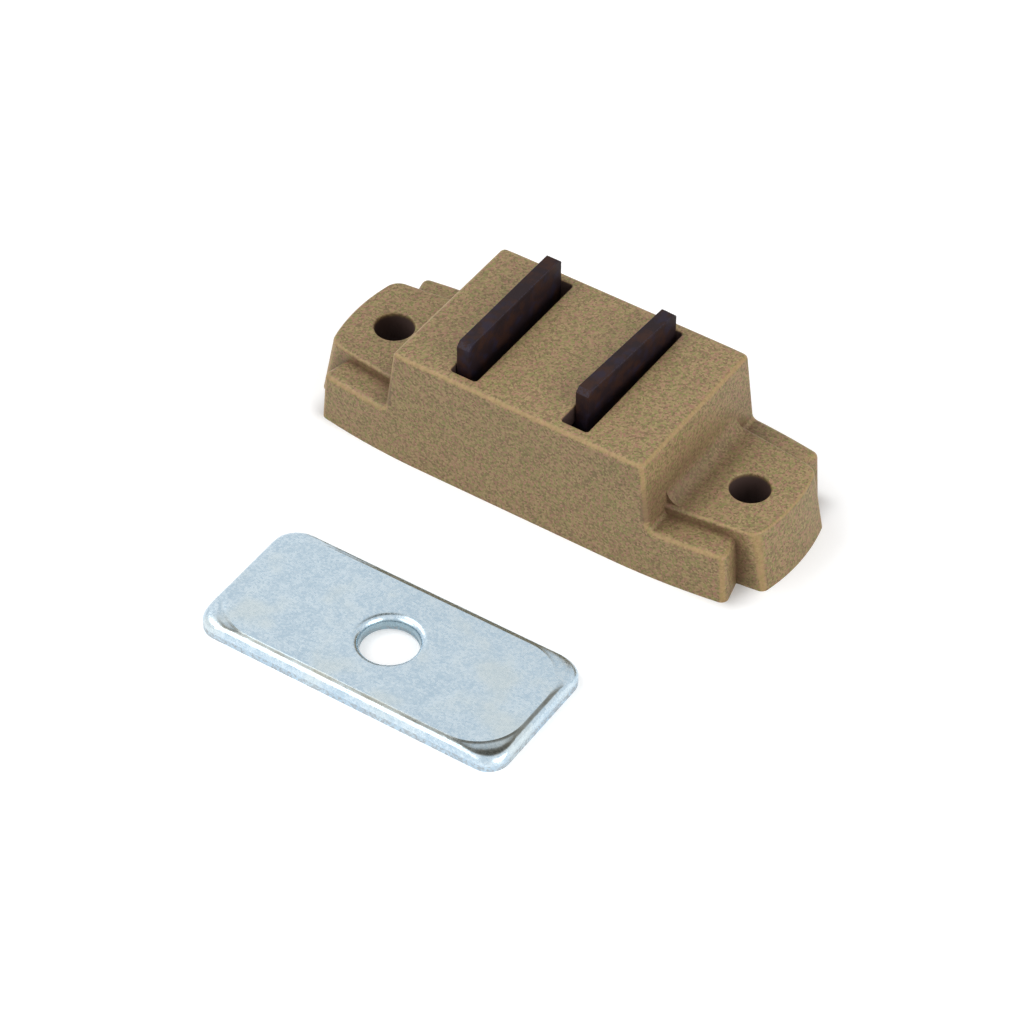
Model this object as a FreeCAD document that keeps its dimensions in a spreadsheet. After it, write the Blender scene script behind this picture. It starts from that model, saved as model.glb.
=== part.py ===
import FreeCAD, Part
import math
import os
import Sketcher

# Screen door magnet: a moulded plastic catch with two screw ears and a loose magnet pack behind two
# slots, and the flat steel strike plate that goes on the door.
# Frame: origin on the mounting face, midway between the two screw holes. X runs along the housing
# through both holes, Y across it and Z up, away from the surface that the catch is screwed to.

doc = FreeCAD.newDocument("screen_door_magnet")

# Driving dimensions, in millimetres and degrees
DRIVING = [
    ("hole_spacing", 44.45, "between the screw hole centres"),
    ("hole_diameter", 4.4, "screw hole"),
    ("hole_rim_break", 0.25, "rounding of the screw hole's upper rim"),
    ("hole_from_end", 6.35, "screw hole centre from the end of its ear"),
    ("hole_from_block", 6.875, "screw hole centre from the top edge of the block"),
    ("ear_overhang", 3.1, "ear past the wide part, at the mounting face"),
    ("straight_run", 24.0, "straight middle of each long side"),
    ("side_bow_radius", 79.0, "curve of each long side towards the ends"),
    ("side_draft", 1.0, "mould draft of the long sides, degrees"),
    ("end_draft", 7.5, "mould draft of the block's end walls, degrees"),
    ("ear_end_draft", 10.0, "mould draft of the ears' curved ends, degrees"),
    ("ledge_end_draft", 4.2, "mould draft of the ledges' end walls, degrees"),
    ("ledge_end_turn", 10.7, "the ledges' end walls in plan, from square, degrees"),
    ("ledge_height", 6.2, "wide part beside the ears"),
    ("ear_height", 7.35, "screw ears"),
    ("block_height", 14.5, "top of the magnet block housing"),
    ("ear_root_width", 15.2, "ear beside the block, at the mounting face"),
    ("ear_taper", 7.0, "each side of an ear to its middle line, degrees"),
    ("ear_end_radius", 23.0, "curved end of an ear in plan"),
    ("ledge_foot_radius", 0.5, "inner rounding where the end walls meet the ledges"),
    ("ear_foot_radius", 1.8, "inner rounding where the end walls meet the ears"),
    ("foot_let_in", 0.3, "feet of the ears sunk behind the faces that they join"),
    ("corner_radius", 0.8, "upright corners of the wide part"),
    ("ledge_edge_radius", 0.7, "upright corners of the block and ledge edges"),
    ("top_edge_radius", 0.65, "edge round the top of the block"),
    ("ear_corner_low", 0.9, "corner of an ear in plan, at the mounting face"),
    ("ear_corner_high", 1.8, "corner of an ear in plan, at its top"),
    ("ear_edge_radius", 0.35, "upper edge of an ear"),
    ("body_offset_y", 0.15, "long sides off the line of the screw holes, along Y"),
    ("ear_offset_y", 0.25, "ears off the line of the screw holes, along Y"),
    ("chamber_side_wall", 1.55, "long walls beside the magnet chamber, on average"),
    ("slot_from_end", 8.535, "slot centre from the end of the block's top"),
    ("slot_offset_x", -0.47, "slots and magnet chamber off the middle, along X"),
    ("slot_offset_y", 0.2, "slots and magnet chamber off the middle, along Y"),
    ("slot_play", 1.6, "free width of a slot beside its pole plate"),
    ("pack_end_play", 1.0, "free length of the slots past the longest pack piece"),
    ("slot_corner_radius", 0.35, "corners of a slot in plan"),
    ("slot_edge_break", 0.2, "rounding of a slot's upper edge"),
    ("top_wall", 2.2, "wall over the magnet chamber"),
    ("partition", 1.6, "wall between the chamber and a lightening pocket"),
    ("end_wall", 1.5, "end wall beside a lightening pocket, at its top"),
    ("rib_height", 0.8, "snap ribs under the magnet"),
    ("rib_setback", 0.25, "snap ribs from the mounting face"),
    ("rib_reach", 1.3, "snap ribs in from the chamber's long walls"),
    ("rib_length", 9.0, "snap ribs along X"),
    ("rib_lead", 0.5, "sloped lead-in of the snap ribs"),
    ("rib_root", 0.4, "snap ribs into the chamber's long walls"),
    ("pocket_inset", 2.4, "lightening pockets from the outer long sides"),
    ("float_travel", 0.8, "free lift of the magnet pack"),
    ("stop_gap", 0.05, "clearance left at each end of the free lift"),
    ("side_gap", 0.12, "left pole plate from the outer edge of its slot"),
    ("pole_thickness", 1.6, "pole plate"),
    ("left_pole_reach", 3.1, "left pole plate above the block, pack at rest"),
    ("right_pole_reach", 2.65, "right pole plate above the block, pack at rest"),
    ("left_pole_length", 17.4, "left pole plate along Y"),
    ("right_pole_length", 15.9, "right pole plate along Y"),
    ("right_pole_turn", 2.6, "right pole plate turned out from the magnet, degrees"),
    ("pole_end_gap", 0.05, "pole plates from the far end of their slots"),
    ("pole_corner_cut", 0.55, "cut upper corners of a pole plate"),
    ("pole_edge_break", 0.15, "broken edges of a pole plate"),
    ("magnet_length", 17.0, "magnet along Y"),
    ("magnet_end_gap", 0.55, "magnet from the far end of the chamber"),
    ("magnet_chamfer", 0.3, "edges of the pressed magnet"),
    ("plate_length", 36.7, "strike plate"),
    ("plate_width", 16.7, "strike plate"),
    ("plate_thickness", 1.9, "strike plate"),
    ("plate_corner_radius", 2.4, "strike plate corners in plan"),
    ("plate_roll_width", 0.9, "rounded upper edge of the stamped plate, in plan"),
    ("plate_roll_depth", 0.95, "rounded upper edge of the stamped plate, in height"),
    ("plate_roll_corner", 5.2, "corner radius of the flat left on top"),
    ("plate_hole", 6.2, "screw hole punched in the plate"),
    ("plate_hole_roll", 0.8, "rolled upper rim of the punched hole"),
    ("plate_hole_break", 0.3, "torn lower rim of the punched hole"),
    ("plate_place_x", 1.0, "strike plate's centre as it lies"),
    ("plate_distance", 15.4, "strike plate from the housing as it lies"),
    ("plate_turn", 0.2, "strike plate's turn as it lies, degrees"),
]

# Sizes worked out from the driving ones
WORKED_OUT = [
    ("ear_end", "hole_spacing / 2 + hole_from_end"),
    ("half_base", "ear_end - ear_overhang"),
    ("half_block", "hole_spacing / 2 - hole_from_block"),
    ("slot_length", "max(left_pole_length; right_pole_length; magnet_length) + pack_end_play"),
    ("slot_width", "pole_thickness + slot_play"),
    ("half_pitch", "half_block - slot_from_end"),
    ("half_width", "slot_length / 2 + chamber_side_wall"),
    ("end_slope", "tan(end_draft * 1deg)"),
    ("block_foot", "half_block + (block_height - ledge_height) * end_slope"),
    ("block_ear_foot", "half_block + (block_height - ear_height) * end_slope"),
    ("foot_tangent", "ledge_foot_radius * tan((45 - end_draft / 2) * 1deg)"),
    ("foot_back", "foot_tangent * sin(end_draft * 1deg)"),
    ("foot_rise", "foot_tangent * cos(end_draft * 1deg)"),
    ("ear_foot_tangent", "ear_foot_radius * tan((45 - end_draft / 2) * 1deg)"),
    ("ear_foot_back", "ear_foot_tangent * sin(end_draft * 1deg)"),
    ("ear_foot_rise", "ear_foot_tangent * cos(end_draft * 1deg)"),
    ("ear_foot_toe", "block_ear_foot + ear_foot_tangent"),
    ("reach", "ear_end + 4"),
    ("mould_top", "block_height + 1"),
    ("ledge_lean", "mould_top * tan(ledge_end_draft * 1deg)"),
    ("wall_lean", "mould_top * tan(side_draft * 1deg)"),
    ("side_lean", "ear_height * tan(side_draft * 1deg)"),
    ("end_lean", "ear_height * tan(ear_end_draft * 1deg)"),
    ("ear_slope", "tan(ear_taper * 1deg)"),
    ("ear_turn", "sqrt(1 + ear_slope ^ 2)"),
    ("ear_end_centre", "ear_end - ear_end_radius"),
    ("ear_foot_half_width", "ear_root_width / 2 - side_lean - (ear_foot_toe - half_block) * ear_slope"),
    ("chamber_left", "slot_offset_x - half_pitch - slot_width / 2"),
    ("chamber_right", "slot_offset_x + half_pitch + slot_width / 2"),
    ("chamber_near", "slot_offset_y - slot_length / 2"),
    ("chamber_far", "slot_offset_y + slot_length / 2"),
    ("chamber_ceiling", "block_height - top_wall"),
    ("left_pole_face", "chamber_left + side_gap"),
    ("right_pole_face", "chamber_right - slot_width + side_gap"),
    ("magnet_middle", "(left_pole_face + pole_thickness + right_pole_face) / 2"),
    ("magnet_bottom", "rib_setback + rib_height + stop_gap"),
    ("magnet_top", "chamber_ceiling - float_travel - stop_gap"),
    ("pole_far_end", "chamber_far - pole_end_gap"),
    ("right_pole_near", "pole_far_end - right_pole_length"),
    ("plate_place_y", "body_offset_y - (half_width + plate_distance + plate_width / 2)"),
]

# Corner of an ear in plan at each level: a round tangent to the ear's side and to its curved end.
# The side is the line y = ear_line - ear_slope * x once it is moved in by the round's radius.
for level, side_in, end_in in (("low", "0", "0"), ("high", "side_lean", "end_lean")):
    line, swing, across, up = (f"ear_line_{level}", f"ear_swing_{level}", f"ear_round_x_{level}",
                               f"ear_round_y_{level}")
    WORKED_OUT += [
        (f"ear_arc_{level}", f"ear_end_radius - {end_in}"),
        (line, f"ear_root_width / 2 - {side_in} + ear_slope * half_block - ear_corner_{level} * ear_turn"),
        (swing, f"ear_end_centre + {line} * ear_slope"),
        (across, f"({swing} + sqrt({swing} ^ 2 - ear_turn ^ 2 * (ear_end_centre ^ 2 + {line} ^ 2"
                 f" - (ear_arc_{level} - ear_corner_{level}) ^ 2))) / ear_turn ^ 2"),
        (up, f"{line} - ear_slope * {across}"),
    ]

sheet = doc.addObject("Spreadsheet::Sheet", "Sizes")
for row, (alias, size, meaning) in enumerate(DRIVING, start=1):
    sheet.set(f"A{row}", meaning)
    sheet.set(f"B{row}", str(size))
    sheet.setAlias(f"B{row}", alias)
for row, (alias, formula) in enumerate(WORKED_OUT, start=len(DRIVING) + 2):
    sheet.set(f"A{row}", "worked out")
    sheet.set(f"B{row}", "=" + formula)
    sheet.setAlias(f"B{row}", alias)
doc.recompute()


def size(alias):
    """A size from the sheet as a plain number."""
    return float(getattr(sheet, alias))


def bind(target, prop, formula):
    """Ties a property of an object to a formula on the sheet's aliases."""
    target.setExpression(prop, named(formula))


def named(formula):
    """Puts the sheet's name before each alias in a formula."""
    words = []
    word = ""
    for letter in formula + " ":
        if letter.isalnum() or letter == "_":
            word += letter
            continue
        known = any(word == entry[0] for entry in DRIVING + WORKED_OUT)
        words.append("Sizes." + word if known else word)
        words.append(letter)
        word = ""
    return "".join(words).strip()


def number(formula):
    """The present value of a formula on the sheet's aliases."""
    result = sheet.evalExpression(named(formula))
    return float(getattr(result, "Value", result))


def new_body(label):
    body = doc.addObject("PartDesign::Body", label)
    body.Label = label
    return body


def new_sketch(body, name, role, height=None):
    """A sketch on one of the body's own origin planes, lifted along the plane's normal if asked."""
    sketch = body.newObject("Sketcher::SketchObject", name)
    plane = next(item for item in body.Origin.OriginFeatures if item.Role == role)
    sketch.AttachmentSupport = [(plane, "")]
    sketch.MapMode = "FlatFace"
    if height is not None:
        bind(sketch, "AttachmentOffset.Base.z", height)
    return sketch


def hold(sketch, kind, *where, formula):
    """Adds a dimension to a sketch and ties it to a formula."""
    index = sketch.addConstraint(Sketcher.Constraint(kind, *where, number(formula)))
    bind(sketch, f"Constraints[{index}]", formula)


def draw_loop(sketch, corners, arcs=None):
    """Draws a closed outline. Each corner is a pair of formulas; arcs gives, for the side that starts
    at a corner, its radius and the side that it bulges to: 1 left of its direction, -1 right."""
    arcs = arcs or {}
    places = [FreeCAD.Vector(number(x), number(y), 0) for x, y in corners]
    first = sketch.GeometryCount
    ends = []
    for index, start in enumerate(places):
        stop = places[(index + 1) % len(places)]
        if index not in arcs:
            sketch.addGeometry(Part.LineSegment(start, stop), False)
            ends.append((1, 2))
            continue
        radius_formula, side = arcs[index]
        radius = number(radius_formula)
        chord = stop - start
        normal = FreeCAD.Vector(-chord.y, chord.x, 0).normalize() * side
        rise = radius - math.sqrt(radius ** 2 - (chord.Length / 2) ** 2)
        middle = (start + stop) * 0.5 + normal * rise
        arc = Part.Arc(start, middle, stop)
        sketch.addGeometry(arc, False)
        # A sketch arc runs anticlockwise, so one that bulges left of its direction is stored turned
        ends.append((2, 1) if side > 0 else (1, 2))
    for index, (x, y) in enumerate(corners):
        geometry = first + index
        following = (index + 1) % len(corners)
        sketch.addConstraint(Sketcher.Constraint("Coincident", geometry, ends[index][1],
                                                 first + following, ends[following][0]))
        hold(sketch, "DistanceX", geometry, ends[index][0], formula=x)
        hold(sketch, "DistanceY", geometry, ends[index][0], formula=y)
    for index, (radius_formula, _) in arcs.items():
        hold(sketch, "Radius", first + index, formula=radius_formula)


def draw_circle(sketch, x, y, radius):
    index = sketch.addGeometry(Part.Circle(FreeCAD.Vector(number(x), number(y), 0),
                                           FreeCAD.Vector(0, 0, 1), number(radius)), False)
    hold(sketch, "DistanceX", index, 3, formula=x)
    hold(sketch, "DistanceY", index, 3, formula=y)
    hold(sketch, "Radius", index, formula=radius)


def rectangle(sketch, x_low, x_high, y_low, y_high):
    draw_loop(sketch, [(x_low, y_low), (x_high, y_low), (x_high, y_high), (x_low, y_high)])


def rounded(sketch, x, y, half_x, half_y, radius):
    """A rectangle with rounded corners, centred at x and y."""
    right, left = f"{x} + {half_x}", f"{x} - ({half_x})"
    top, low = f"{y} + {half_y}", f"{y} - ({half_y})"
    draw_loop(sketch, [(right, f"{low} + {radius}"), (right, f"{top} - {radius}"),
                       (f"{right} - {radius}", top), (f"{left} + {radius}", top),
                       (left, f"{top} - {radius}"), (left, f"{low} + {radius}"),
                       (f"{left} + {radius}", low), (f"{right} - {radius}", low)],
              {side: (radius, -1) for side in (1, 3, 5, 7)})


def new_pad(body, name, sketch, length, both_ways=False, draft=None):
    pad = body.newObject("PartDesign::Pad", name)
    pad.Profile = sketch
    bind(pad, "Length", length)
    if both_ways:
        pad.SideType = "Symmetric"
    if draft:
        bind(pad, "TaperAngle", draft)
    doc.recompute()
    return pad


def new_pocket(body, name, sketch, depth):
    """A pocket from a sketch on a level plane, cut upwards."""
    pocket = body.newObject("PartDesign::Pocket", name)
    pocket.Profile = sketch
    bind(pocket, "Length", depth)
    pocket.Reversed = True
    doc.recompute()
    return pocket


def edges_where(feature, test):
    """Names of a feature's edges whose middle point and shape pass a test."""
    names = []
    for index, edge in enumerate(feature.Shape.Edges, start=1):
        middle = edge.valueAt((edge.FirstParameter + edge.LastParameter) / 2)
        if test(middle, edge):
            names.append(f"Edge{index}")
    return names


def new_loft(body, name, low, *higher, ruled=True):
    """A solid through outlines with the same number of sides, straight or smooth between them."""
    loft = body.newObject("PartDesign::AdditiveLoft", name)
    loft.Profile = low
    loft.Sections = [(sketch, [""]) for sketch in higher]
    loft.Ruled = ruled
    doc.recompute()
    return loft


# Two heights or radii this close are the same one
TOUCH = 0.01


def on_circle(at, x, y, radius):
    return abs(math.hypot(at.x - x, at.y - y) - radius) < TOUCH


def level_with(at, alias):
    return abs(at.z - size(alias)) < TOUCH


def runs_along(edge, axis):
    """Whether an edge runs mostly along X, Y or Z, given as 0, 1 or 2."""
    box = edge.BoundBox
    lengths = (box.XLength, box.YLength, box.ZLength)
    return lengths[axis] > 0.7 * sum(lengths)


def new_fillet(body, name, base, names, radius, kind="PartDesign::Fillet"):
    if not names:
        raise RuntimeError(f"{name} found no edges")
    fillet = body.newObject(kind, name)
    fillet.Base = (base, names)
    bind(fillet, "Radius" if kind.endswith("Fillet") else "Size", radius)
    doc.recompute()
    if "Invalid" in fillet.State:
        raise RuntimeError(f"{name}: {fillet.getStatusString()} on {names}")
    return fillet


# Housing: one moulding in tan plastic, hollow from behind
housing = new_body("housing")

# Side view of the wide part and the block, with the rounded foot of the block's end walls
side_view = new_sketch(housing, "side_view", "XZ_Plane")
right = [("reach", "0"), ("reach", "ledge_height"), ("block_foot + foot_tangent", "ledge_height"),
         ("block_foot - foot_back", "ledge_height + foot_rise"), ("half_block", "block_height")]
left = [(f"-({x})", z) for x, z in reversed(right)]
draw_loop(side_view, right + left, {2: ("ledge_foot_radius", 1), 6: ("ledge_foot_radius", 1)})
new_pad(housing, "stepped_block", side_view, "2 * half_width + 2", both_ways=True)

# Plan of the long sides, bowed towards the ends and drafted
outline = new_body("long_side_outline")


def mould_plan(name, side_in, end_in, height=None):
    """Outline of the long sides and the slanted ends of the ledges at one level."""
    sketch = new_sketch(outline, name, "XY_Plane", height=height)
    bind(sketch, "AttachmentOffset.Base.y", "body_offset_y")
    tip = f"half_base - {end_in}"
    bow = f"side_bow_radius - sqrt(side_bow_radius ^ 2 - ({tip} - straight_run / 2) ^ 2)"
    side = f"half_width - {side_in}"
    quarter = [(f"{tip} - (half_width * 2 / 3) * tan(ledge_end_turn * 1deg)", "half_width / 3"),
               (tip, f"{side} - ({bow})"), ("straight_run / 2", side)]
    half = quarter + [(f"-({x})", y) for x, y in reversed(quarter)]
    draw_loop(sketch, half + [(f"-({x})", f"-({y})") for x, y in half],
              {side: ("side_bow_radius", -1) for side in (1, 3, 7, 9)})
    return sketch


new_loft(outline, "long_side_mould", mould_plan("mould_plan_low", "0", "0"),
         mould_plan("mould_plan_high", "wall_lean", "ledge_lean", height="mould_top"))
trimmed = housing.newObject("PartDesign::Boolean", "trimmed_block")
trimmed.Type = "Common"
trimmed.addObject(outline)
doc.recompute()


# Outer roundings of the block and the wide part
def at_long_side(at):
    return abs(at.y) > size("half_width") / 2


def wide_corner(at, edge):
    return at_long_side(at) and abs(at.x) > size("block_foot") and at.z > TOUCH and runs_along(edge, 2)


def ledge_edge(at, edge):
    """One smooth run over the block's corners, its feet and the ledges."""
    return at_long_side(at) and size("ledge_height") - TOUCH < at.z < size("block_height") - TOUCH


def block_rim(at, edge):
    return level_with(at, "block_height")


shell = new_fillet(housing, "wide_corners", trimmed, edges_where(trimmed, wide_corner), "corner_radius")
shell = new_fillet(housing, "ledge_edges", shell, edges_where(shell, ledge_edge), "ledge_edge_radius")
shell = new_fillet(housing, "block_rim", shell, edges_where(shell, block_rim), "top_edge_radius")


# Screw ears, narrower towards their curved ends, with corners that are rounder at the top
def ear_plan(name, level, side_in, end_in, height=None):
    """Outline of both ears at one level, run together through the block."""
    sketch = new_sketch(housing, name, "XY_Plane", height=height)
    bind(sketch, "AttachmentOffset.Base.y", "ear_offset_y")
    radius, arc, x, y = f"ear_corner_{level}", f"ear_arc_{level}", f"ear_round_x_{level}", f"ear_round_y_{level}"
    grow = f"{arc} / ({arc} - {radius})"
    quarter = [(f"ear_end_centre + ({x} - ear_end_centre) * {grow}", f"{y} * {grow}"),
               (f"{x} + {radius} * ear_slope / ear_turn", f"{y} + {radius} / ear_turn"),
               ("half_block", f"ear_root_width / 2 - {side_in}")]
    back = quarter + [(f"-({x})", y) for x, y in reversed(quarter)]
    outline = [(f"ear_end - {end_in}", "0")] + back
    outline += [(f"-({x})", f"-({y})") for x, y in outline]
    draw_loop(sketch, outline, {**{side: (arc, -1) for side in (0, 6, 7, 13)},
                                **{side: (radius, -1) for side in (1, 5, 8, 12)}})
    return sketch


def ear_rim(at, edge):
    return level_with(at, "ear_height") and abs(at.x) > size("block_ear_foot") + TOUCH


shell = new_loft(housing, "ears", ear_plan("ear_plan_low", "low", "0", "0"),
                 ear_plan("ear_plan_high", "high", "side_lean", "end_lean", height="ear_height"))
shell = new_fillet(housing, "ear_rims", shell, edges_where(shell, ear_rim), "ear_edge_radius")

# Rounded feet where the ears meet the block's end walls, let in a little behind both faces
feet = new_sketch(housing, "ear_foot_view", "XZ_Plane", height="-ear_offset_y")
foot = [("ear_foot_toe", "ear_height"),
        ("block_ear_foot - ear_foot_back", "ear_height + ear_foot_rise"),
        ("block_ear_foot - ear_foot_back - foot_let_in", "ear_height + ear_foot_rise"),
        ("block_ear_foot - ear_foot_back - foot_let_in", "ear_height - foot_let_in"),
        ("ear_foot_toe", "ear_height - foot_let_in")]
draw_loop(feet, foot, {0: ("ear_foot_radius", 1)})
draw_loop(feet, [(f"-({x})", z) for x, z in foot], {0: ("ear_foot_radius", -1)})
shell = new_pad(housing, "ear_feet", feet, "2 * (ear_foot_half_width - ear_edge_radius)", both_ways=True)

# Screw holes with a softened rim
holes = new_sketch(housing, "screw_hole_plan", "XY_Plane")
draw_circle(holes, "hole_spacing / 2", "0", "hole_diameter / 2")
draw_circle(holes, "-hole_spacing / 2", "0", "hole_diameter / 2")
shell = new_pocket(housing, "screw_holes", holes, "block_height + 1")


def screw_hole_rim(at, edge):
    beside = FreeCAD.Vector(abs(at.x), at.y, 0)
    return level_with(at, "ear_height") and on_circle(beside, size("hole_spacing") / 2, 0,
                                                      size("hole_diameter") / 2)


shell = new_fillet(housing, "screw_hole_rims", shell, edges_where(shell, screw_hole_rim), "hole_rim_break")

# Chamber for the magnet pack, open at the mounting face
chamber = new_sketch(housing, "chamber_plan", "XY_Plane")
rectangle(chamber, "chamber_left", "chamber_right", "chamber_near", "chamber_far")
shell = new_pocket(housing, "chamber", chamber, "chamber_ceiling")

# Lightening pockets between the chamber and the end walls
lights = new_sketch(housing, "lightening_plan", "XY_Plane")
rectangle(lights, "chamber_right + partition", "half_block - end_wall",
          "-(half_width - pocket_inset)", "half_width - pocket_inset")
rectangle(lights, "-(half_block - end_wall)", "chamber_left - partition",
          "-(half_width - pocket_inset)", "half_width - pocket_inset")
shell = new_pocket(housing, "lightening_pockets", lights, "chamber_ceiling")

# Two slots for the pole plates, through the top wall
slots = new_sketch(housing, "slot_plan", "XY_Plane")
for centre in ("slot_offset_x + half_pitch", "slot_offset_x - half_pitch"):
    rounded(slots, centre, "slot_offset_y", "slot_width / 2", "slot_length / 2", "slot_corner_radius")
shell = new_pocket(housing, "slots", slots, "block_height + 1")


def slot_rim(at, edge):
    return (level_with(at, "block_height") and size("chamber_left") - TOUCH < at.x < size("chamber_right") + TOUCH
            and size("chamber_near") - TOUCH < at.y < size("chamber_far") + TOUCH)


shell = new_fillet(housing, "slot_rims", shell, edges_where(shell, slot_rim), "slot_edge_break")

# Snap ribs that the magnet pack is pushed past, with a sloped lead-in
ribs = new_sketch(housing, "rib_plan", "XY_Plane", height="rib_setback")
rectangle(ribs, "magnet_middle - rib_length / 2", "magnet_middle + rib_length / 2",
          "chamber_far - rib_reach", "chamber_far + rib_root")
rectangle(ribs, "magnet_middle - rib_length / 2", "magnet_middle + rib_length / 2",
          "chamber_near - rib_root", "chamber_near + rib_reach")
shell = new_pad(housing, "snap_ribs", ribs, "rib_height")


def rib_lead_edge(at, edge):
    return (level_with(at, "rib_setback") and runs_along(edge, 0)
            and size("chamber_near") + TOUCH < at.y < size("chamber_far") - TOUCH)


shell = new_fillet(housing, "rib_lead_in", shell, edges_where(shell, rib_lead_edge), "rib_lead",
                   kind="PartDesign::Chamfer")


# Pole plates: two strips of flat steel with cut upper corners
def pole_plate(label, face, length, reach):
    body = new_body(label)
    side = new_sketch(body, label + "_side", "YZ_Plane", height=face)
    near = f"pole_far_end - {length}"
    top = f"block_height + {reach}"
    draw_loop(side, [(near, "magnet_bottom"), ("pole_far_end", "magnet_bottom"),
                     ("pole_far_end", f"{top} - pole_corner_cut"),
                     ("pole_far_end - pole_corner_cut", top),
                     (f"{near} + pole_corner_cut", top), (near, f"{top} - pole_corner_cut")])
    plate = new_pad(body, label + "_blank", side, "pole_thickness")
    new_fillet(body, label + "_edges", plate, edges_where(
        plate, lambda at, edge: edge.BoundBox.XLength < TOUCH), "pole_edge_break")
    return body


left_pole = pole_plate("pole_plate_left", "left_pole_face", "left_pole_length", "left_pole_reach")
right_pole = pole_plate("pole_plate_right", "right_pole_face", "right_pole_length", "right_pole_reach")
# The right plate is turned about its near edge on the magnet, as it stands in its wide slot
bind(right_pole, "Placement.Base.x",
     "right_pole_face * (1 - cos(right_pole_turn * 1deg)) - right_pole_near * sin(right_pole_turn * 1deg)")
bind(right_pole, "Placement.Base.y",
     "right_pole_near * (1 - cos(right_pole_turn * 1deg)) + right_pole_face * sin(right_pole_turn * 1deg)")
bind(right_pole, "Placement.Rotation.Angle", "-right_pole_turn")

# Magnet: a pressed ferrite block between the two pole plates
magnet = new_body("magnet_block")
magnet_plan = new_sketch(magnet, "magnet_plan", "XY_Plane", height="magnet_bottom")
rectangle(magnet_plan, "left_pole_face + pole_thickness", "right_pole_face",
          "chamber_far - magnet_end_gap - magnet_length", "chamber_far - magnet_end_gap")
block = new_pad(magnet, "magnet_blank", magnet_plan, "magnet_top - magnet_bottom")
new_fillet(magnet, "magnet_edges", block, edges_where(block, lambda at, edge: runs_along(edge, 0)),
           "magnet_chamfer", kind="PartDesign::Chamfer")

# Strike plate: stamped steel with one punched screw hole, lying beside the catch. Its upper edge is
# rolled over by the stamping, more at the corners than along the sides.
plate = new_body("strike_plate")
plan = new_sketch(plate, "plate_plan", "XY_Plane")
rounded(plan, "0", "0", "plate_length / 2", "plate_width / 2", "plate_corner_radius")
new_pad(plate, "plate_blank", plan, "plate_thickness - plate_roll_depth")
sections = []
for turn in (0, 30, 60, 90):
    inset = f"plate_roll_width * (1 - cos({turn}deg))"
    section = new_sketch(plate, f"die_roll_{turn}", "XY_Plane",
                         height=f"plate_thickness - plate_roll_depth * (1 - sin({turn}deg))")
    rounded(section, "0", "0", f"plate_length / 2 - {inset}", f"plate_width / 2 - {inset}",
            f"(plate_corner_radius + (plate_roll_corner - plate_corner_radius) * (1 - cos({turn}deg)))")
    sections.append(section)
blank = new_loft(plate, "die_roll", sections[0], *sections[1:], ruled=False)
punch = new_sketch(plate, "plate_hole_plan", "XY_Plane")
draw_circle(punch, "0", "0", "plate_hole / 2")
blank = new_pocket(plate, "plate_hole_cut", punch, "plate_thickness + 1")


def plate_hole_edge(at):
    return on_circle(at, 0, 0, size("plate_hole") / 2)


blank = new_fillet(plate, "plate_hole_rim", blank, edges_where(
    blank, lambda at, edge: plate_hole_edge(at) and level_with(at, "plate_thickness")), "plate_hole_roll")
blank = new_fillet(plate, "plate_hole_back", blank, edges_where(
    blank, lambda at, edge: plate_hole_edge(at) and at.z < TOUCH),
    "plate_hole_break", kind="PartDesign::Chamfer")
bind(plate, "Placement.Base.x", "plate_place_x")
bind(plate, "Placement.Base.y", "plate_place_y")
bind(plate, "Placement.Rotation.Angle", "plate_turn")

doc.recompute()
for item in doc.Objects:
    if "Invalid" in item.State or "Error" in item.State:
        raise RuntimeError(f"{item.Label} failed: {item.getStatusString()}")
pieces = (housing, magnet, left_pole, right_pole, plate)
for piece in pieces:
    if piece.Shape.isNull() or not piece.Shape.isValid() or len(piece.Shape.Solids) != 1:
        raise RuntimeError(f"{piece.Label} is not one valid solid")
os.makedirs("parts", exist_ok=True)
for piece in pieces:
    piece.Shape.exportStep(f"parts/{piece.Label}.step")
    print(piece.Label, round(piece.Shape.Volume, 1))
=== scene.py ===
import math

import bmesh
import bpy
from mathutils import Matrix, Vector


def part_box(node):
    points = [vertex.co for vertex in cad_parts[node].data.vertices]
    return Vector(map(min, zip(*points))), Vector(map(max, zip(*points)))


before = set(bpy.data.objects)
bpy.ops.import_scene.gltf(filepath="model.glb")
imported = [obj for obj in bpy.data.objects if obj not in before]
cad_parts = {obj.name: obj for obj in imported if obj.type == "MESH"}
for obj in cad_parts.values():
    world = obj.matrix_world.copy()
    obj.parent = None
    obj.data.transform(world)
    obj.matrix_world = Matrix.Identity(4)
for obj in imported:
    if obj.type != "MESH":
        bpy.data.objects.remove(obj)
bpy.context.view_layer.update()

# Camera: a long lens, close to half a metre away, looking down on the catch from its front right
# corner, as the photograph does. Its target is on the surface, just in front of the catch.
MM = 0.001
VIEW_AZIMUTH = 33.13
VIEW_ELEVATION = 43.92
VIEW_ROLL = 0.77
VIEW_DISTANCE = 418.09 * MM
VIEW_TARGET = Vector((-0.14, -10.38, 0.0)) * MM
LENS_LENGTH = 140.625
SENSOR_WIDTH = 36.0
NEAREST_SEEN = 10 * MM

facing = (Matrix.Rotation(math.radians(VIEW_AZIMUTH), 4, "Z")
          @ Matrix.Rotation(math.radians(90 - VIEW_ELEVATION), 4, "X"))
camera_data = bpy.data.cameras.new("camera")
camera_data.lens = LENS_LENGTH
camera_data.sensor_width = SENSOR_WIDTH
camera_data.clip_start = NEAREST_SEEN
camera = bpy.data.objects.new("camera", camera_data)
camera.matrix_world = (Matrix.Translation(VIEW_TARGET) @ facing
                       @ Matrix.Translation((0, 0, VIEW_DISTANCE))
                       @ Matrix.Rotation(math.radians(VIEW_ROLL), 4, "Z"))
bpy.context.collection.objects.link(camera)
bpy.context.scene.camera = camera


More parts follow.
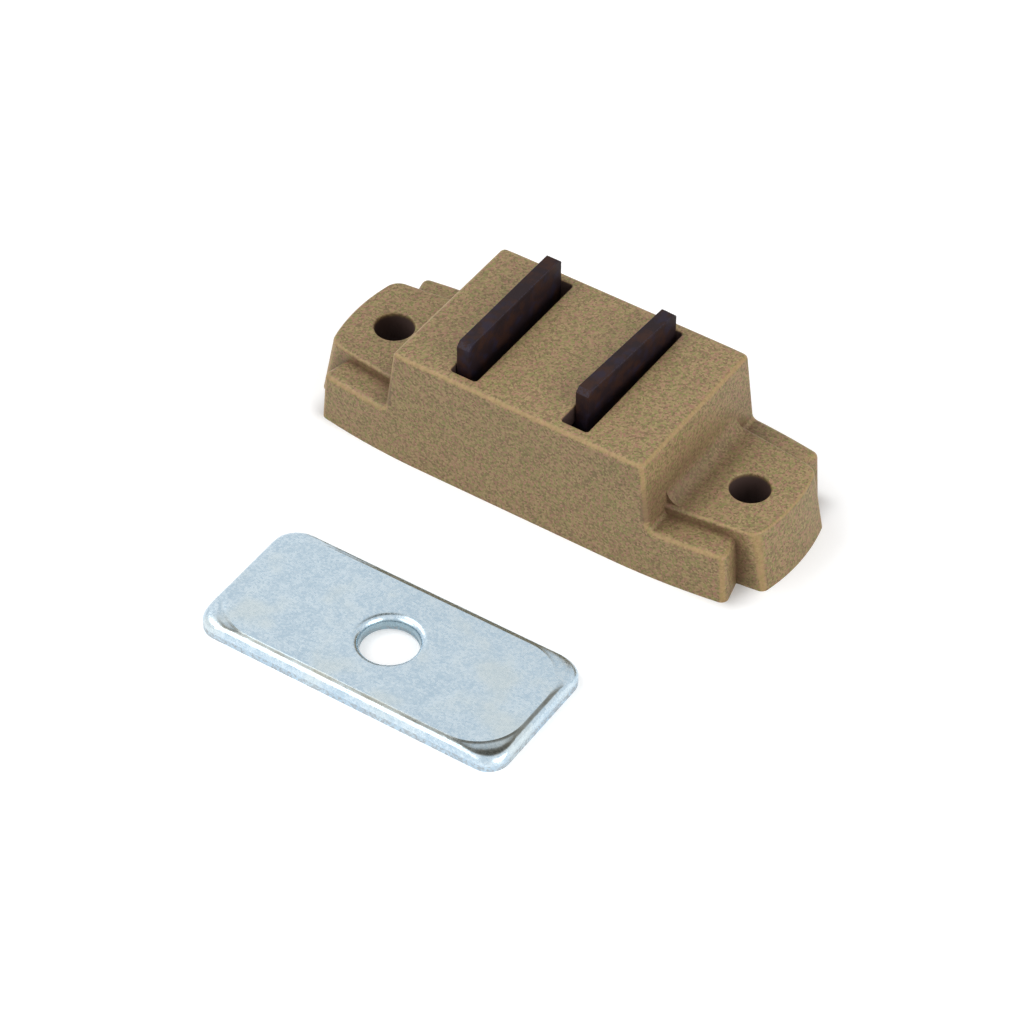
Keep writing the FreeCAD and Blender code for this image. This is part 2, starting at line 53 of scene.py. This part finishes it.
# Housing: one injection moulding in tan plastic, fine grained from a spark-eroded mould. Its rounded
# edges carry a painted highlight, and its slots, screw holes, inner corners and ears' feet painted shade.
class Signal:
    """A socket of a material's nodes. Arithmetic on it adds the Math nodes that work it out."""

    def __init__(self, tree, socket=None):
        self.tree = tree
        self.socket = socket

    def node(self, kind, settings=None, values=None, output=0):
        """Adds one node: first its settings, then the values or links of its sockets."""
        made = self.tree.nodes.new(kind)
        for name, value in (settings or {}).items():
            setattr(made, name, value)
        for name, value in (values or {}).items():
            if isinstance(value, Signal):
                self.tree.links.new(value.socket, made.inputs[name])
            elif isinstance(value, tuple) and len(value) == 3 and made.inputs[name].type == "RGBA":
                made.inputs[name].default_value = (*value, 1)
            else:
                made.inputs[name].default_value = value
        return Signal(self.tree, made.outputs[output])

    def maths(self, operation, *values):
        """A Math node with these values."""
        return self.node("ShaderNodeMath", {"operation": operation}, dict(enumerate(values)))

    def __add__(self, other):
        return self.maths("ADD", self, other)

    __radd__ = __add__

    def __sub__(self, other):
        return self.maths("SUBTRACT", self, other)

    def __rsub__(self, other):
        return self.maths("SUBTRACT", other, self)

    def __mul__(self, other):
        return self.maths("MULTIPLY", self, other)

    __rmul__ = __mul__

    def __abs__(self):
        return self.maths("ABSOLUTE", self)

    def rising(self, low, high):
        """0 below low, 1 above high and smooth between them; the other way round if high is lower."""
        ends = {1: min(low, high), 2: max(low, high)}
        ends.update({3: 0.0, 4: 1.0} if low < high else {3: 1.0, 4: 0.0})
        return self.node("ShaderNodeMapRange", {"interpolation_type": "SMOOTHSTEP"}, {0: self, **ends})

    def between(self, low, full, fading, high):
        """1 from full to fading, 0 below low and above high, and smooth in between."""
        return self.rising(low, full) * self.rising(high, fading)

    def mix(self, plain, masked):
        """The plain colour where this mask is 0 and the masked one where it is 1."""
        return self.node("ShaderNodeMix", {"data_type": "RGBA"}, {0: self, 6: plain, 7: masked}, output=2)

    def place(self):
        """The point on the piece, in metres."""
        return self.node("ShaderNodeTexCoord", output="Object")

    def normal(self):
        """The way that the surface faces."""
        return self.node("ShaderNodeNewGeometry", output="Normal")

    def axis(self, name):
        """One coordinate of a vector."""
        return self.node("ShaderNodeSeparateXYZ", None, {0: self}, output=name)

    def channel(self, name):
        """One channel of a colour."""
        return self.node("ShaderNodeSeparateColor", None, {0: self}, output=name)

    def radius_with(self, other):
        """How far from an axis, whose distances along two directions these are."""
        return self.maths("SQRT", self * self + other * other)

    def stretched(self, x, y, z):
        """The coordinates multiplied along each axis, for a grain that runs one way."""
        return self.node("ShaderNodeMapping", {"vector_type": "POINT"}, {"Vector": self, "Scale": (x, y, z)})

    def noise(self, size, detail, rough):
        """Cloudy noise with features of about this size in metres."""
        return self.node("ShaderNodeTexNoise", None, {
            "Vector": self, "Scale": 1 / size, "Detail": detail, "Roughness": rough})

    def grains(self, size):
        """Three random numbers for each of many small grains, as a colour."""
        return self.node("ShaderNodeTexVoronoi", None, {"Vector": self, "Scale": 1 / size}, output="Color")

    def openness(self, reach):
        """1 where the surface lies open and less in an inner corner, felt from this far away."""
        return self.node("ShaderNodeAmbientOcclusion", {"samples": 12, "only_local": True},
                         {"Distance": reach}, output="AO")

    def bump(self, distance, strength):
        """A surface normal from this height."""
        return self.node("ShaderNodeBump", None, {
            "Strength": strength, "Distance": distance, "Height": self})


def finish_for(node, name, build):
    """A new material on a CAD node, with its shader sockets given by build."""
    material = bpy.data.materials.new(name)
    material.use_nodes = True
    tree = material.node_tree
    shader = tree.nodes["Principled BSDF"]
    for socket, value in build(Signal(tree)).items():
        if isinstance(value, Signal):
            tree.links.new(value.socket, shader.inputs[socket])
        elif isinstance(value, tuple):
            shader.inputs[socket].default_value = (*value, 1)
        else:
            shader.inputs[socket].default_value = value
    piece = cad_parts[node]
    piece.data.materials.clear()
    piece.data.materials.append(material)


TAN_PALE = (0.365, 0.258, 0.120)
TAN_DEEP = (0.170, 0.116, 0.050)
TAN_ROSY = (0.350, 0.168, 0.116)
TAN_OLIVE = (0.215, 0.220, 0.062)
TAN_EDGE_HIGHLIGHT = (0.425, 0.272, 0.110)
TAN_SHADE = (0.100, 0.050, 0.026)
DEEP_SHADE = (0.070, 0.042, 0.036)

# The grain: small specks that differ in tone and tint, clouded by a coarser mottle, over fine pits.
SPECK_SIZE = 0.21 * MM
SPECK_SHARE = 0.6
MOTTLE_SIZE = 0.8 * MM
MOTTLE_SHARE = 0.4
TONE_CONTRAST = (0.20, 0.82)
ROSY_SPECKS = (0.60, 1.0)
OLIVE_SPECKS = (0.40, 0.0)
TINT_STRENGTH = 0.7
CLOUD_SIZE = 8 * MM
PIT_SIZE = 0.2 * MM
PIT_DEPTH = 0.012 * MM
PIT_STRENGTH = 0.5

# The rounded edges that get a painted highlight, found by how the surface leans and where they lie.
EAR_TOP = 7.35 * MM
EAR_EDGE_HEIGHT = (EAR_TOP + 0.2 * MM, EAR_TOP)
BLOCK_EDGE_HEIGHT = (12 * MM, 13 * MM)
LEVEL_EDGE_LEAN = (0.25, 0.60, 0.80, 0.99)
UPRIGHT_EDGE_TURN = (0.25, 0.48)
UPRIGHT_EDGE_LEAN = (0.75, 0.50)
EDGE_OPENNESS = (0.86, 0.97)
EDGE_HIGHLIGHT_STRENGTH = 0.35
EDGE_HIGHLIGHT_MOTTLE = 0.4

# The places given painted shade: inner corners, the ears' feet, the screw bores and the slots.
HOLE_FROM_MIDDLE = 22.225 * MM
BORE_RADIUS = 2.2 * MM
BORE_REACH = (BORE_RADIUS + 0.25 * MM, BORE_RADIUS + 0.05 * MM)
BORE_DEPTH = (EAR_TOP - 0.1 * MM, EAR_TOP - 0.7 * MM)
CREVICE_REACH = 4 * MM
CREVICE_OPENNESS = (0.95, 0.45)
CREVICE_STRENGTH = 0.75
SLOT_HEIGHT = (12.0 * MM, 12.4 * MM)
SLOT_OPENNESS = (0.97, 0.80)
FOOT_ACROSS = (15.3 * MM, 15.5 * MM, 17.5 * MM, 20.5 * MM)
FOOT_HEIGHT = (6.9 * MM, 7.3 * MM, 9.0 * MM, 13.0 * MM)
FOOT_ALONG = (7 * MM, -4 * MM)
FOOT_AT_BACK = 0.45
FOOT_STRENGTH = 0.50


def moulded_tan(start):
    place = start.place()
    across, along, height = place.axis("X"), place.axis("Y"), place.axis("Z")
    normal = start.normal()
    lean = normal.axis("Z")
    openness = start.openness(CREVICE_REACH)

    specks = place.grains(SPECK_SIZE)
    tone, tint = specks.channel("Red"), specks.channel("Green")
    mottle = place.noise(MOTTLE_SIZE, detail=3.0, rough=0.7)
    cloud = place.noise(CLOUD_SIZE, detail=2.0, rough=0.5)
    pits = place.noise(PIT_SIZE, detail=2.0, rough=0.6)

    # Painted shade deep in the screw bores and in the slots beside the pole plates.
    bore = (abs(across) - HOLE_FROM_MIDDLE).radius_with(along).rising(*BORE_REACH)
    slot = height.rising(*SLOT_HEIGHT) * openness.rising(*SLOT_OPENNESS)
    deep_shade = start.maths("MAXIMUM", bore * height.rising(*BORE_DEPTH), slot)
    # Painted shade on the ears' feet beside the block, fading towards the back, and in inner corners.
    foot_shade = abs(across).between(*FOOT_ACROSS) * height.between(*FOOT_HEIGHT)
    foot_shade = foot_shade * (FOOT_AT_BACK + (1 - FOOT_AT_BACK) * along.rising(*FOOT_ALONG))
    crevice_shade = openness.rising(*CREVICE_OPENNESS)
    shade = start.maths("MAXIMUM", crevice_shade * CREVICE_STRENGTH, foot_shade * FOOT_STRENGTH)

    outer = start.maths("MAXIMUM", height.rising(*EAR_EDGE_HEIGHT), height.rising(*BLOCK_EDGE_HEIGHT))
    level = lean.between(*LEVEL_EDGE_LEAN) * outer
    upright = abs(normal.axis("X") * normal.axis("Y")).rising(*UPRIGHT_EDGE_TURN)
    upright = upright * lean.rising(*UPRIGHT_EDGE_LEAN)
    edge_highlight = start.maths("MAXIMUM", level, upright) * (1 - bore) * openness.rising(*EDGE_OPENNESS)

    colour = (SPECK_SHARE * tone + MOTTLE_SHARE * mottle).rising(*TONE_CONTRAST).mix(TAN_DEEP, TAN_PALE)
    colour = (tint.rising(*ROSY_SPECKS) * TINT_STRENGTH).mix(colour, TAN_ROSY)
    colour = (tint.rising(*OLIVE_SPECKS) * TINT_STRENGTH).mix(colour, TAN_OLIVE)
    # A painted highlight along the rounded edges, mottled in strength.
    colour = (edge_highlight * (EDGE_HIGHLIGHT_STRENGTH + EDGE_HIGHLIGHT_MOTTLE * mottle)).mix(colour, TAN_EDGE_HIGHLIGHT)
    # Painted shade in the inner corners and on the ears' feet.
    colour = shade.mix(colour, TAN_SHADE)
    # Painted shade deep in the screw bores and slots.
    colour = deep_shade.mix(colour, DEEP_SHADE)
    return {"Base Color": colour,
            "Roughness": 0.50 + 0.10 * cloud - 0.06 * edge_highlight,
            "Normal": pits.bump(PIT_DEPTH, PIT_STRENGTH),
            "IOR": 1.49}


finish_for("housing", "moulded_tan", moulded_tan)


# Pole plates: two strips cut from flat steel and blackened, with a brown and violet cast where the
# oxide is thin. Their broken edges are rubbed a little brighter.
OXIDE = (0.017, 0.009, 0.011)
OXIDE_BROWN = (0.034, 0.014, 0.010)
OXIDE_VIOLET = (0.019, 0.015, 0.030)
OXIDE_RUBBED = (0.036, 0.028, 0.040)
CAST_SIZE = 2.2 * MM
BROWN_CAST = (0.42, 0.62)
VIOLET_SIZE = 1.4 * MM
VIOLET_CAST = (0.5, 0.7)
VIOLET_STRENGTH = 0.7
SCALE_SIZE = 0.24 * MM
SCALE_DEPTH = 0.014 * MM
SCALE_STRENGTH = 0.6
RUBBED_LEAN = (0.3, 0.6, 0.9, 0.99)
RUBBED_SPECKS = (0.35, 0.6)
RUBBED_STRENGTH = 0.7


def black_oxide(start):
    place = start.place()
    cast = place.noise(CAST_SIZE, detail=3.0, rough=0.6)
    violet = place.noise(VIOLET_SIZE, detail=2.0, rough=0.5)
    speckle = place.noise(SCALE_SIZE, detail=2.0, rough=0.6)
    rubbed = start.normal().axis("Z").between(*RUBBED_LEAN) * speckle.rising(*RUBBED_SPECKS)
    colour = cast.rising(*BROWN_CAST).mix(OXIDE, OXIDE_BROWN)
    colour = (violet.rising(*VIOLET_CAST) * VIOLET_STRENGTH).mix(colour, OXIDE_VIOLET)
    colour = (rubbed * RUBBED_STRENGTH).mix(colour, OXIDE_RUBBED)
    return {"Base Color": colour,
            "Roughness": 0.55 - 0.10 * rubbed + 0.12 * cast,
            "Specular IOR Level": 0.18,
            "Normal": speckle.bump(SCALE_DEPTH, SCALE_STRENGTH)}


finish_for("pole_plate_left", "black_oxide_left", black_oxide)
finish_for("pole_plate_right", "black_oxide_right", black_oxide)


# Magnet: a block of pressed and ground ferrite between the pole plates, dull charcoal with the
# grinding marks along it and small bright grains.
FERRITE = (0.040, 0.040, 0.043)
FERRITE_GRAIN = (0.085, 0.085, 0.092)
CRYSTAL_SIZE = 0.18 * MM
BRIGHT_CRYSTALS = (0.55, 0.75)
CRYSTAL_STRENGTH = 0.8
MARK_SIZE = 0.25 * MM
MARK_STRETCH = 0.05
MARK_DEPTH = 0.015 * MM
MARK_STRENGTH = 0.5


def ground_ferrite(start):
    place = start.place()
    crystals = place.noise(CRYSTAL_SIZE, detail=2.0, rough=0.7)
    marks = place.stretched(1.0, MARK_STRETCH, 1.0).noise(MARK_SIZE, detail=2.0, rough=0.6)
    return {"Base Color": (crystals.rising(*BRIGHT_CRYSTALS) * CRYSTAL_STRENGTH).mix(FERRITE, FERRITE_GRAIN),
            "Metallic": 0.3,
            "Roughness": 0.55 + 0.2 * marks,
            "Normal": (marks + 0.5 * crystals).bump(MARK_DEPTH, MARK_STRENGTH)}


finish_for("magnet_block", "ground_ferrite", ground_ferrite)


# Strike plate: stamped steel, zinc plated with a pale blue passivated skin. Its upper edge is rolled
# over by the punch, the sheared side below is burnished, and the lowest part is torn and dull.
ZINC = (0.450, 0.575, 0.675)
ZINC_PALE = (0.650, 0.755, 0.825)
ZINC_STRAW = (0.620, 0.670, 0.640)
ZINC_BEND_REFLECTION = (0.130, 0.115, 0.075)
ZINC_BORE_SHADE = (0.140, 0.240, 0.280)
ZINC_TORN = (0.330, 0.350, 0.370)

# The plating: patches and cloudy areas with fine grains, over the lines of the rolled sheet.
PATCH_SIZE = 1.5 * MM
PATCH_SHARE = 0.45
AREA_SIZE = 6 * MM
AREA_SHARE = 0.25
GRAIN_SIZE = 0.22 * MM
GRAIN_SHARE = 0.3
ZINC_CONTRAST = (0.25, 0.75)
STRAW_AREAS = (0.5, 0.7)
STRAW_STRENGTH = 0.4
LINE_SIZE = 0.3 * MM
LINE_STRETCH = 0.06
LINE_DEPTH = 0.008 * MM
LINE_STRENGTH = 0.5

# The darker places: a painted dark reflection along a line inside the rolled edge at the front and
# right, painted shade on the hole's wall, and the torn part of the side.
PLATE_MIDDLE = [(low + high) / 2 for low, high in zip(*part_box("strike_plate"))]
BEYOND_HOLE = (4.2 * MM, 4.8 * MM)
BEND_LEAN = (0.88, 0.96, 0.988, 0.9995)
BEND_TO_RIGHT = (-0.10, -0.04)
BEND_TO_FRONT = (0.05, 0.0)
BEND_REFLECTION_STRENGTH = 0.5
BORE_LEAN = (0.7, 0.3)
BORE_SHADE_STRENGTH = 0.35
SHADE_PATCHES = 0.5
TORN_HEIGHT = (0.85 * MM, 0.65 * MM)
TORN_LEAN = (0.9, 0.7)
TORN_GRAIN = (0.2, 0.8)
TORN_STRENGTH = 0.7


def blue_zinc(start):
    place = start.place()
    patches = place.noise(PATCH_SIZE, detail=3.0, rough=0.65)
    areas = place.noise(AREA_SIZE, detail=2.0, rough=0.5)
    grain = place.grains(GRAIN_SIZE).channel("Red")
    lines = place.stretched(LINE_STRETCH, 1.0, 1.0).noise(LINE_SIZE, detail=3.0, rough=0.6)

    normal = start.normal()
    lean = normal.axis("Z")
    across, along = place.axis("X") - PLATE_MIDDLE[0], place.axis("Y") - PLATE_MIDDLE[1]
    outside = across.radius_with(along).rising(*BEYOND_HOLE)
    turned = normal.axis("X").rising(*BEND_TO_RIGHT) * normal.axis("Y").rising(*BEND_TO_FRONT)
    bend_reflection = lean.between(*BEND_LEAN) * outside * turned
    bore = lean.rising(*BORE_LEAN) * (1 - outside)
    torn = place.axis("Z").rising(*TORN_HEIGHT) * abs(lean).rising(*TORN_LEAN)

    tone = PATCH_SHARE * patches + AREA_SHARE * areas + GRAIN_SHARE * grain
    colour = tone.rising(*ZINC_CONTRAST).mix(ZINC, ZINC_PALE)
    colour = (areas.rising(*STRAW_AREAS) * STRAW_STRENGTH).mix(colour, ZINC_STRAW)
    # A painted dark reflection along the line inside the rolled edge.
    colour = (bend_reflection * (BEND_REFLECTION_STRENGTH + SHADE_PATCHES * patches)).mix(colour, ZINC_BEND_REFLECTION)
    # Painted shade on the hole's wall.
    colour = (bore * (BORE_SHADE_STRENGTH + SHADE_PATCHES * patches)).mix(colour, ZINC_BORE_SHADE)
    colour = (torn * grain.rising(*TORN_GRAIN) * TORN_STRENGTH).mix(colour, ZINC_TORN)
    return {"Base Color": colour,
            "Metallic": 1.0,
            "Roughness": 0.19 + 0.10 * patches + 0.06 * grain + 0.3 * torn,
            "Normal": (0.6 * patches + 0.4 * lines).bump(LINE_DEPTH, LINE_STRENGTH)}


finish_for("strike_plate", "blue_zinc", blue_zinc)


# Floor: a white table that stays white in view and in mirrors, lights the part like a pale grey one,
# and keeps a soft shadow. Under the housing it gives no light of its own.
FLOOR_SIZE = 4.0
FLOOR_SEEN = (0.86, 0.86, 0.86)
FLOOR_FELT = (0.50, 0.50, 0.50)
FLOOR_LIFT = (0.30, 0.30, 0.30)
NO_LIFT = (0.0, 0.0, 0.0)
FLOOR_ROUGHNESS = 0.9
COVERED_ACROSS = (28 * MM, 25 * MM)
COVERED_ALONG = (11 * MM, 9 * MM)

floor_data = bpy.data.meshes.new("floor")
top = bmesh.new()
bmesh.ops.create_grid(top, x_segments=1, y_segments=1, size=FLOOR_SIZE)
top.to_mesh(floor_data)
top.free()
floor = bpy.data.objects.new("floor", floor_data)
bpy.context.collection.objects.link(floor)
white = bpy.data.materials.new("white_table")
white.use_nodes = True
floor_data.materials.append(white)


def rays_that_show(start):
    """1 for the rays that reach the camera straight, from a mirror or through glass."""
    camera_ray = start.node("ShaderNodeLightPath", output="Is Camera Ray")
    glossy_ray = start.node("ShaderNodeLightPath", output="Is Glossy Ray")
    through_ray = start.node("ShaderNodeLightPath", output="Is Transmission Ray")
    return start.maths("MINIMUM", camera_ray + glossy_ray + through_ray, 1.0)


table = Signal(white.node_tree)
seen = rays_that_show(table)
spot = table.place()
covered = abs(spot.axis("X")).rising(*COVERED_ACROSS) * abs(spot.axis("Y")).rising(*COVERED_ALONG)
floor_colour = seen.mix(FLOOR_FELT, FLOOR_SEEN)
floor_glow = (seen * (1 - covered)).mix(NO_LIFT, FLOOR_LIFT)
shader = white.node_tree.nodes["Principled BSDF"]
shader.inputs["Roughness"].default_value = FLOOR_ROUGHNESS
shader.inputs["Specular IOR Level"].default_value = 0.0
shader.inputs["Emission Strength"].default_value = 1.0
white.node_tree.links.new(floor_colour.socket, shader.inputs["Base Color"])
white.node_tree.links.new(floor_glow.socket, shader.inputs["Emission Color"])


# Room: evenly white all round in view, and a pale grey light on the part. In mirrors it is dark near
# the middle of its ceiling, which gives the strike plate's rolled edge its dark glint.
ROOM_SEEN = (1.0, 1.0, 1.0)
ROOM_FELT = (0.62, 0.62, 0.62)
ROOM_CEILING = (0.16, 0.15, 0.12)
CEILING_MIDDLE = Vector((-0.05, 0.25, 0.967)).normalized()
CEILING_SPREAD = (0.93, 0.98)

world = bpy.data.worlds.new("room")
world.use_nodes = True
bpy.context.scene.world = world
room = Signal(world.node_tree)
direction = room.node("ShaderNodeTexCoord", output="Generated")
overhead = room.node("ShaderNodeVectorMath", {"operation": "DOT_PRODUCT"},
                     {0: direction, 1: tuple(CEILING_MIDDLE)}, output="Value")
mirrored = room.node("ShaderNodeLightPath", output="Is Glossy Ray")
colour = rays_that_show(room).mix(ROOM_FELT, ROOM_SEEN)
colour = (mirrored * overhead.rising(*CEILING_SPREAD)).mix(colour, ROOM_CEILING)
background = world.node_tree.nodes["Background"]
background.inputs["Strength"].default_value = 1.0
world.node_tree.links.new(colour.socket, background.inputs["Color"])


# Lamps: three wide and soft ones, high on the left, low on the right and in front on the left. They
# are weak enough for a colour to render about as it is written.
def lamp(name, place, size, power):
    """A square lamp at this place, aimed at the catch."""
    data = bpy.data.lights.new(name, "AREA")
    data.size = size
    data.energy = power
    piece = bpy.data.objects.new(name, data)
    away = Vector(place)
    piece.matrix_world = Matrix.Translation(away) @ away.to_track_quat("Z", "Y").to_matrix().to_4x4()
    bpy.context.collection.objects.link(piece)


lamp("left_lamp", place=(-0.60, -0.15, 0.79), size=0.50, power=3.0)
lamp("right_lamp", place=(0.90, -0.15, 0.42), size=0.60, power=4.2)
lamp("front_lamp", place=(-0.35, -0.85, 0.50), size=0.60, power=2.2)

bpy.context.scene.view_settings.view_transform = "Standard"
